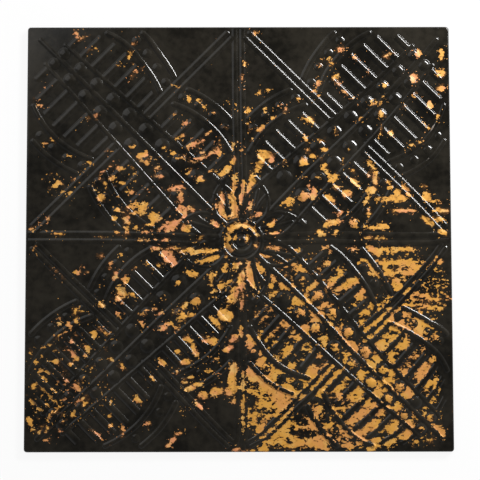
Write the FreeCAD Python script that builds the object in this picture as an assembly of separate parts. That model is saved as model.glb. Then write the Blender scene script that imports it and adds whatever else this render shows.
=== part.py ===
# Pressed tin ceiling tile: one square of thin tinplate, stamped in relief and turned down at its four edges.
# The tile lies face up. Z = 0 is the cut edge of the turned-down lip, and the tile's centre is on the Z axis.
# Places on the tile are complex numbers: the real part runs along an arm's diagonal, the other across it.
import FreeCAD, Part
import os
from cmath import rect
from math import asin, cos, pi, sin, sqrt

# The sheet and its edges
tile_side = 609.6
sheet_thickness = 0.4
lip_depth = 8.0
edge_radius = 3.0

# Strip of flat sheet that is left clear between the relief and the edges, and between forms that meet
edge_margin = 5.0
meeting_gap = 1.0

# Double ribs of the upright cross, which part the tile into four squares
cross_rib_offset = 5.5
cross_rib_foot = 6.6
cross_rib_crest = 2.0
cross_rib_height = 2.0

# Double ribs of the diamond, which join the middles of the tile's edges
diamond_rib_offset = 5.2
diamond_rib_foot = 6.4
diamond_rib_crest = 2.0
diamond_rib_height = 2.0

# Each diagonal arm: its middle rib, and the two rails that leave the cross and close in toward the corner
spine_foot = 6.0
spine_crest = 1.6
spine_height = 2.2
spine_corner_gap = 27.0
rail_root = 44.0
rail_start = 63.0
rail_start_offset = 38.3
rail_end_offset = 20.0
rail_corner_gap = 58.0
rail_foot = 5.6
rail_crest = 1.6
rail_height = 2.0

# Rungs: short ribs across the arm, outside its rails
rung_pitch = 22.3
rung_foot = 8.6
rung_crest = 2.8
rung_height = 2.4
rung_arc_gap = 6.0
rung_least_length = 14.0

# Fans: two concentric arcs on each side of an arm and of the diamond, with beads between them
fan_centre_along = 76.0
fan_centre_across = 53.0
fan_outer_radius = 165.0
fan_inner_radius = 138.0
fan_chords = 3
fan_rib_foot = 6.4
fan_rib_crest = 2.2
fan_rib_height = 2.0
bead_radius = 6.0
bead_crown_radius = 2.6
bead_height = 2.4
bead_pitch = 25.0
bead_sides = 5

# Bosses: two rows along each arm, between the spine and the rails
boss_first = 106.0
boss_pitch = 32.4
boss_count = 9
boss_first_radius = 10.5
boss_last_radius = 7.5
boss_flank_run = 4.0
boss_height = 3.4
boss_sides = 6

# Rosette in the middle: a button, a broad ring and an outer bead
button_radius = 9.0
button_crown_radius = 4.0
button_height = 5.0
broad_ring_radius = 17.0
broad_ring_foot = 11.0
broad_ring_crest = 4.0
broad_ring_height = 3.8
outer_ring_radius = 28.0
outer_ring_foot = 8.0
outer_ring_crest = 3.0
outer_ring_height = 2.6
ring_valley_height = 0.6
ring_sides = 10

# Leaves round the rosette: in each half of an arm, the rib that bounds the leaf's tip
leaf_start = 42.0
leaf_end = 76.0
leaf_chords = 3
leaf_rib_foot = 4.6
leaf_rib_crest = 1.4
leaf_rib_height = 1.6

# How far each raised form reaches below the flat sheet, so that its foot is cut by that sheet
root = 0.6

half_side = tile_side / 2
corner_reach = half_side * sqrt(2)
diamond_reach = corner_reach / 2
rail_end = corner_reach - rail_corner_gap
arms = 4
origin = FreeCAD.Vector(0, 0, 0)
up = FreeCAD.Vector(0, 0, 1)


def polygon(centre, radius, sides):
    """Corners of a regular polygon round a centre."""
    return [centre + rect(radius, 2 * pi * (i + 0.5) / sides) for i in range(sides)]


def strip(path, width):
    """Outline of a band of even width along a path of points."""
    headings = [(b - a) / abs(b - a) for a, b in zip(path, path[1:])]
    before = headings[:1] + headings
    after = headings + headings[-1:]
    sides = [1j * (a + b) / (1 + (a * b.conjugate()).real) for a, b in zip(before, after)]
    right = [point - side * width / 2 for point, side in zip(path, sides)]
    left = [point + side * width / 2 for point, side in zip(path, sides)]
    return right + left[::-1]


def inset(outline, distance):
    """Closed outline with every side moved inward by a distance."""
    moved = []
    for i, corner in enumerate(outline):
        arriving = corner - outline[i - 1]
        leaving = outline[(i + 1) % len(outline)] - corner
        a = 1j * arriving / abs(arriving)
        b = 1j * leaving / abs(leaving)
        moved.append(corner + distance * (a + b) / (1 + (a * b.conjugate()).real))
    return moved


def ring(outline, height):
    """Points of an outline at a height above the flat sheet."""
    return [FreeCAD.Vector(point.real, point.imag, lip_depth + height) for point in outline]


def flat_face(points):
    """Flat face with the given corners."""
    return Part.Face(Part.makePolygon(points + points[:1]))


def raised(rings):
    """Solid with flat walls from each ring of points to the next, closed at the first and last ring."""
    faces = [flat_face(rings[0]), flat_face(rings[-1])]
    for lower, upper in zip(rings, rings[1:]):
        for i in range(len(lower)):
            faces.append(flat_face([lower[i - 1], lower[i], upper[i], upper[i - 1]]))
    return Part.Solid(Part.Shell(faces))


def pressed(outline, run, height):
    """Form that rises from an outline on the flat sheet, with flanks that lean in by run, to a flat crest."""
    foot = ring(inset(outline, -run * root / height), -root)
    crest = ring(inset(outline, run), height)
    return raised([foot, crest])


def rib(path, foot, crest, height):
    """Rib along a path, foot wide on the flat sheet and crest wide on top."""
    return pressed(strip(path, foot), (foot - crest) / 2, height)


def rail_offset(s):
    """Distance of a rail's middle from the arm's middle line, at a distance s from the tile's centre."""
    share = (s - rail_start) / (rail_end - rail_start)
    return rail_start_offset + share * (rail_end_offset - rail_start_offset)


def beside_rail(s):
    """Distance from the arm's middle line at which a form outside the rail may begin."""
    return rail_offset(s) + rail_foot / 2 + meeting_gap


def cross_clear():
    """Half the width of the cross, with the gap beside it."""
    return cross_rib_offset + cross_rib_foot / 2 + meeting_gap


def fan_limit(outward):
    """Largest sum of the distances from the diamond and from the arm that a fan may reach."""
    clear = edge_margin if outward > 0 else cross_clear()
    return diamond_reach - clear * sqrt(2)


def fan_span(radius, half_width, outward):
    """Turns at which a band of a fan leaves the diamond, and comes nearest to the cross or the edge."""
    clear = diamond_rib_offset + diamond_rib_foot / 2 + meeting_gap + half_width
    first = asin((clear - fan_centre_along) / radius)
    reach = fan_limit(outward) - half_width * sqrt(2) - fan_centre_along + fan_centre_across
    last = asin(min(1, reach / (radius * sqrt(2)))) - pi / 4
    return first, last


def fan(outward):
    """Arcs and beads of the fan on the left of an arm, inside (-1) or outside (+1) of the diamond."""
    centre = complex(diamond_reach + outward * fan_centre_along, -fan_centre_across)

    def place(radius, turn):
        return centre + radius * complex(outward * sin(turn), cos(turn))

    pieces = []
    for radius in (fan_outer_radius, fan_inner_radius):
        first, last = fan_span(radius, fan_rib_foot / 2, outward)
        turns = [first + (last - first) * i / fan_chords for i in range(fan_chords + 1)]
        path = [place(radius, turn) for turn in turns]
        pieces.append(rib(path, fan_rib_foot, fan_rib_crest, fan_rib_height))
    bead_circle = (fan_outer_radius + fan_inner_radius) / 2
    first, last = fan_span(bead_circle, bead_radius, outward)
    step = bead_pitch / bead_circle
    for i in range(int((last - first) / step) + 1):
        outline = polygon(place(bead_circle, first + i * step), bead_radius, bead_sides)
        pieces.append(pressed(outline, bead_radius - bead_crown_radius, bead_height))
    return pieces


def rung_outer_end(u, outward):
    """How far from the arm's middle line a rung may reach, at a distance u from the diamond's middle."""
    reach = sqrt(fan_inner_radius ** 2 - (abs(u) - fan_centre_along) ** 2) - fan_centre_across
    return min(reach - fan_rib_foot / 2 - rung_arc_gap, fan_limit(outward) - abs(u) - rung_foot)


def rungs():
    """Rungs on the left of an arm, spaced from the inner rib of the diamond."""
    pieces = []
    steps = int(diamond_reach / rung_pitch)
    for step in range(-steps, steps + 1):
        u = step * rung_pitch - diamond_rib_offset
        s = diamond_reach + u
        in_fan = abs(abs(u) - fan_centre_along) < fan_inner_radius
        if step == 0 or not in_fan or not rail_start < s < rail_end:
            continue
        start = beside_rail(s)
        end = rung_outer_end(u, 1 if u > 0 else -1)
        if end - start >= rung_least_length:
            pieces.append(rib([complex(s, start), complex(s, end)], rung_foot, rung_crest, rung_height))
    return pieces


def diamond_ribs():
    """The two ribs of the diamond on the left of an arm, up to the middle of the tile's edge."""
    pieces = []
    for offset in (-diamond_rib_offset, diamond_rib_offset):
        s = diamond_reach + offset
        by_cross = s - cross_clear() * sqrt(2)
        by_edge = corner_reach - s - edge_margin * sqrt(2)
        end = min(by_cross, by_edge) - diamond_rib_foot / 2
        path = [complex(s, beside_rail(s)), complex(s, end)]
        pieces.append(rib(path, diamond_rib_foot, diamond_rib_crest, diamond_rib_height))
    return pieces


def bosses():
    """Row of bosses on the left of an arm, half way between its spine and its rail."""
    pieces = []
    for i in range(boss_count):
        s = boss_first + i * boss_pitch
        inner = spine_foot / 2 + meeting_gap
        outer = rail_offset(s) - rail_foot / 2 - meeting_gap
        radius = boss_first_radius + (boss_last_radius - boss_first_radius) * i / (boss_count - 1)
        outline = polygon(complex(s, (inner + outer) / 2), min(radius, (outer - inner) / 2), boss_sides)
        pieces.append(pressed(outline, boss_flank_run, boss_height))
    return pieces


def rail():
    """Rail on the left of an arm, from the middle of the cross rib beside it."""
    root_place = complex(rail_root, rail_root - cross_rib_offset * sqrt(2))
    path = [root_place, complex(rail_start, rail_start_offset), complex(rail_end, rail_end_offset)]
    return rib(path, rail_foot, rail_crest, rail_height)


def leaf():
    """Edge of the leaf on the left of an arm: a quarter of an ellipse, from the spine to beside the rail."""
    length = leaf_end - leaf_start
    width = rail_offset(leaf_end) - rail_foot / 2 - meeting_gap
    turns = [pi / 2 * i / leaf_chords for i in range(leaf_chords + 1)]
    path = [complex(leaf_start + length * sin(turn), width * (1 - cos(turn))) for turn in turns]
    return rib(path, leaf_rib_foot, leaf_rib_crest, leaf_rib_height)


def rosette():
    """Button and two rings round the tile's middle."""
    outer = (outer_ring_radius, outer_ring_foot, outer_ring_crest, outer_ring_height)
    broad = (broad_ring_radius, broad_ring_foot, broad_ring_crest, broad_ring_height)
    steps = [(outer_ring_radius + outer_ring_foot / 2, -root)]
    for radius, foot, crest, height in (outer, broad):
        steps += [(radius + crest / 2, height), (radius - crest / 2, height)]
        steps.append((radius - foot / 2, ring_valley_height))
    steps += [(button_radius, ring_valley_height), (button_crown_radius, button_height)]
    return raised([ring(polygon(0, radius, ring_sides), height) for radius, height in steps])


def turned(shapes, angle):
    """Copies of shapes, turned about the tile's middle by an angle in degrees."""
    return [shape.rotated(origin, up, angle) for shape in shapes]


def relief():
    """Every raised form of the tile."""
    left = fan(-1) + fan(1) + rungs() + diamond_ribs() + bosses() + [leaf(), rail()]
    right = [shape.mirror(origin, FreeCAD.Vector(0, 1, 0)) for shape in left]
    start = outer_ring_radius + outer_ring_foot / 2 + meeting_gap
    path = [complex(start), complex(corner_reach - spine_corner_gap)]
    spine = rib(path, spine_foot, spine_crest, spine_height)
    cross = []
    for side in (-cross_rib_offset, cross_rib_offset):
        path = [complex(start, side), complex(half_side - edge_margin, side)]
        cross.append(rib(path, cross_rib_foot, cross_rib_crest, cross_rib_height))
    pieces = [rosette()]
    for k in range(arms):
        quarter = 360 / arms * k
        pieces += turned(cross, quarter)
        pieces += turned(left + right + [spine], quarter + 45)
    return pieces


def slab(inward, bottom, top):
    """Block with rounded corners and a rounded upper edge, inward from the tile's outline."""
    side = tile_side - 2 * inward
    block = Part.makeBox(side, side, top - bottom, FreeCAD.Vector(-side / 2, -side / 2, bottom))
    folds = [edge for edge in block.Edges if edge.BoundBox.ZMax > bottom + root]
    return block.makeFillet(edge_radius - inward, folds)


def pressed_sheet():
    """The tile: its front form, less the same form one sheet's thickness further in."""
    forms = relief()
    front = slab(0, 0, lip_depth).multiFuse(forms)
    lowered = [form.translated(FreeCAD.Vector(0, 0, -sheet_thickness)) for form in forms]
    back = slab(sheet_thickness, -lip_depth, lip_depth - sheet_thickness).multiFuse(lowered)
    return front.cut(back)


os.makedirs("parts", exist_ok=True)
pressed_sheet().exportStep("parts/pressed_sheet.step")
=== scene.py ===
# Pressed tin ceiling tile lying face up: rounded relief, turned-down lip, black paint flaked off gold.
from math import asin, cos, pi, radians, sin, sqrt

import bpy
import numpy as np
from mathutils import Euler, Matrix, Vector, geometry


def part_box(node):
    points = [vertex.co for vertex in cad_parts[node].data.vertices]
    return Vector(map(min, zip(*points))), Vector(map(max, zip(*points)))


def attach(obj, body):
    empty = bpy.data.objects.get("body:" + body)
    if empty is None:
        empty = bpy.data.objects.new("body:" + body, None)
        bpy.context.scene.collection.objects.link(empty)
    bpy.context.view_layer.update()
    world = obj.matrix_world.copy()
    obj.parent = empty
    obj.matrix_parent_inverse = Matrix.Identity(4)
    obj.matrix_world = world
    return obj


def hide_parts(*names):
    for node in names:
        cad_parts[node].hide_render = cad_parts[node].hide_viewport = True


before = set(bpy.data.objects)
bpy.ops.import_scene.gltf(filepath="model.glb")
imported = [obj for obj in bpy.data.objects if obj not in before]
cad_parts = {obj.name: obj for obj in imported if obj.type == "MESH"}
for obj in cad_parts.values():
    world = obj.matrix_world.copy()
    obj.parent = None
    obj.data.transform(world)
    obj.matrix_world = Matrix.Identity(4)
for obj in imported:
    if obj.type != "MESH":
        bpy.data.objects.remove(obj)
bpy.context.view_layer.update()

# Sizes of the tile in millimetres. Places on it are complex numbers: real part along X, the other along Y.
MM = 0.001
_, cad_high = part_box("pressed_sheet")
half_side = cad_high.x / MM
sheet_thickness = 0.4
lip_depth = 8.0
edge_radius = 3.0
corner_radius = 4.5

corner_reach = half_side * sqrt(2)
diamond_reach = corner_reach / 2

# Ribs of the cross and of the diamond
cross_offset = 5.5
cross_half_width = 4.2
cross_height = 1.1
cross_edge_gap = 4.0
diamond_offset = 5.2
diamond_half_width = 4.2
diamond_height = 1.45
diamond_end = 197.0
diamond_rail_gap = 2.0

# Arms
spine_start = 30.0
spine_corner_gap = 27.0
spine_end = corner_reach - spine_corner_gap
spine_half_width = 4.2
spine_height = 1.55
rail_start = 63.0
rail_start_offset = 38.3
rail_corner_gap = 58.0
rail_end = corner_reach - rail_corner_gap
rail_end_offset = 20.0
rail_half_width = 3.8
rail_height = 1.4
rung_pitch = 22.3
rung_half_width = 5.6
rung_height = 2.19
rung_arc_gap = 9.0
rung_rail_gap = 1.0
rung_least_length = 10.0
rung_taper = 2.5

# Fans
fan_centre_along = 76.0
fan_centre_across = 53.0
fan_outer_radius = 165.0
fan_inner_radius = 138.0
fan_half_width = 4.3
fan_height = 1.55
fan_edge_gap = 5.0
bead_radius = 6.8
bead_height = 1.7
bead_pitch = 25.0

# Bosses
boss_first = 106.0
boss_pitch = 32.4
boss_count = 9
boss_first_radius = 12.0
boss_last_radius = 9.0
boss_height = 3.0

# Rosette: rings as (radius, half width, height), and its leaves, whose places are in the arm's own frame
rosette_rings = [(28.5, 4.4, 2.4), (17.0, 6.5, 3.4)]
button_radius = 9.5
button_height = 4.9
rail_root = 26 + 22j
leaf_start = 42.0
leaf_end = 76.0
leaf_veins = [(32 + 8j, 49.4 + 17.1j, 72.5 + 20j), (36.5 + 13.5j, 52 + 23.5j, 68 + 33j)]
leaf_half_width = 3.0
leaf_height = 1.2
leaf_grip = 3.0

# Forms that meet run into each other by this power: the higher, the sharper
union_power = 4

# How finely curves are divided
curl_chords = 8
arc_points = 16
ring_chords = 60
bead_sides = 14
boss_sides = 20
button_sides = 24
corner_steps = 5
fold_steps = 5

# How finely front and back are meshed: steps along a rib and in the flats, and rows as shares of a form
front_rib_step = 3.0
front_flat_step = 2.4
front_rib_rows = (0, 0.45, 0.9, 1.06)
front_dome_rows = (0.35, 0.65, 0.9, 1.06)
back_rib_step = 24.0
back_flat_step = 14.0
back_rib_rows = (0, 0.5, 1.02)
back_dome_rows = (0.45, 1.02)
back_dome_turn = 2
back_clearance = 0.25
back_checks = 5
back_rounds = 12
cap_turns = (-60, -30, 0, 30, 60)
least_gap = 0.5
weld_gap = 1e-4
rim_step = 6.0
slope_step = 0.1
mesh_limit = half_side - edge_radius - least_gap

# Where the pressing lies off the even pattern: a place, and how far the pattern is drawn there
drifts = [
    (0j, 4.4 - 5.2j),
    (-150 + 150j, 0.3 - 0.4j),
    (150 + 150j, 5.8 - 4.0j),
    (150 - 150j, 2.6 - 3.5j),
    (238 - 107j, 1.6 - 10.5j),
    (205 - 48j, 5.5 - 6.5j),
    (52 - 215j, 3.5 - 7.5j),
    (30 - 280j, 4.5 - 8.0j),
    (270 - 128j, 0.6 - 7.5j),
    (212 - 212j, 8.0 - 9.0j),
    (250 + 174j, 5.3 - 5.0j),
    (-150 - 150j, 2.9 - 0.3j),
]
drift_spread = 80.0
drift_margin = 32.0

# Smaller places where it lies further off, in the same form
nudges = [
    (174 - 36j, -3.6 - 3.4j),
    (51 - 180j, -0.6 - 5.8j),
    (114 - 193j, 3.2 - 3.6j),
    (-122 + 256j, -3.4 - 2.0j),
]
nudge_spread = 28.0

# How the paint holds on ribs, out to a share of their width, and on the rims of domes, with depths in pixels
hold_reach = 1.15
rim_share = 0.85
rim_spread = 0.36
hold_depth = 0.7
hold_depth_worn = 5.0
quarter_fade = 30.0
flake_ease = -0.55
flake_ease_worn = 1.0
patch_reach = 9.0
patch_deepest = 2.5
least_share = 1e-9
flake_shift = (0.4, 0.9)
speckled_depth = -2.2

# The photograph's camera, with its own frame in pixels
photo_pixels = 480
camera_place = (0.00168, -0.07311, 1.3405)
camera_turn = (0.05165, -0.00016, -0.00163)
camera_lens = 70.0
camera_sensor = 36.0

# Lamps: name, place in metres, width, depth and energy
studio_lamps = [
    ("narrow_lamp", (1.01, 1.01, 0.73), 0.9, 0.12, 36.0),
    ("wide_lamp", (-1.0, 1.0, 1.2), 1.45, 1.45, 6.6),
]

# Light of the walls and the ceiling, and the heights of a direction between which one passes into the other
wall_light = 0.6
wall_top = 0.3
ceiling_light = 0.2
ceiling_start = 0.92

# Floor, in metres, and the white of it and of the walls
white = (1, 1, 1, 1)
floor_reach = 4.0
floor_colour = (0.9, 0.9, 0.9, 1)
floor_roughness = 0.9
floor_white_share = 0.9

# Gold coat, and tints over it: colour, scale and detail of the noise that spreads it, the two values of the
# noise between which it comes in, and its share
gold_base = (0.71, 0.35, 0.066, 1)
gold_tints = [
    ((0.71, 0.288, 0.122, 1), 22, 3, 0.46, 0.6, 1.0),
    ((0.36, 0.155, 0.027, 1), 130, 4, 0.48, 0.72, 0.6),
    ((0.80, 0.50, 0.165, 1), 75, 3, 0.5, 0.7, 0.7),
]
gold_aged = (0.58, 0.28, 0.039, 1)
aged_share = 0.55
gold_edge = (0.29, 0.12, 0.026, 1)
edge_share = 0.55

# Black coat with its stains, and the bare back with its rust, spread in the same way
black_deep = (0.0038, 0.0032, 0.0019, 1)
black_dull = (0.0205, 0.0175, 0.0125, 1)
mottle_coarse = (14, 3)
mottle_fine = (110, 3)
mottle_fine_share = 0.5
mottle_range = (0.5, 1.0)
stain_brown = (0.075, 0.035, 0.012, 1)
stain_spread = (45, 3, 0.42, 0.6)
tin_grey = (0.25, 0.235, 0.21, 1)
tin_rust = (0.15, 0.085, 0.045, 1)
rust_spread = (9, 8, 0.42, 0.7)
rust_roughness = 0.7

# Specks of gold near the flakes, and islands of black in them
speck_spread = (270, 1, 0.638, 0.646)
speck_nearness = 0.018
island_spread = (330, 3, 0.64, 0.66)

# Ragged edges of the flakes: stretch of the noise, scale, detail and swing in pixels of its layers, its middle
ragged_stretch = (0.75, 1.2, 1.0)
ragged_layers = [(560, 1, 2.0), (210, 2, 9.0), (95, 1, 6.0)]
ragged_middle = 0.5
ragged_least = 0.85
ragged_more_aged = 0.75

# Depths in a flake, in pixels, between which the gold is bared, its dark edge fades and the black is stained
bare_range = (-0.2, 0.2)
edge_range = (-0.1, 0.9)
stain_range = (-2.2, -0.1)

# Gloss, dents in the sheet and the step from coat to coat, with depths in metres
gloss_spread = (60, 4, 0.3, 0.7)
black_roughness = (0.11, 0.18)
bare_roughness = 0.3
specular_level = 0.3
dent_noise = (45, 2)
dent_strength = 0.12
dent_depth = 0.0006
coat_strength = 0.3
coat_depth = 0.0002

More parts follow.
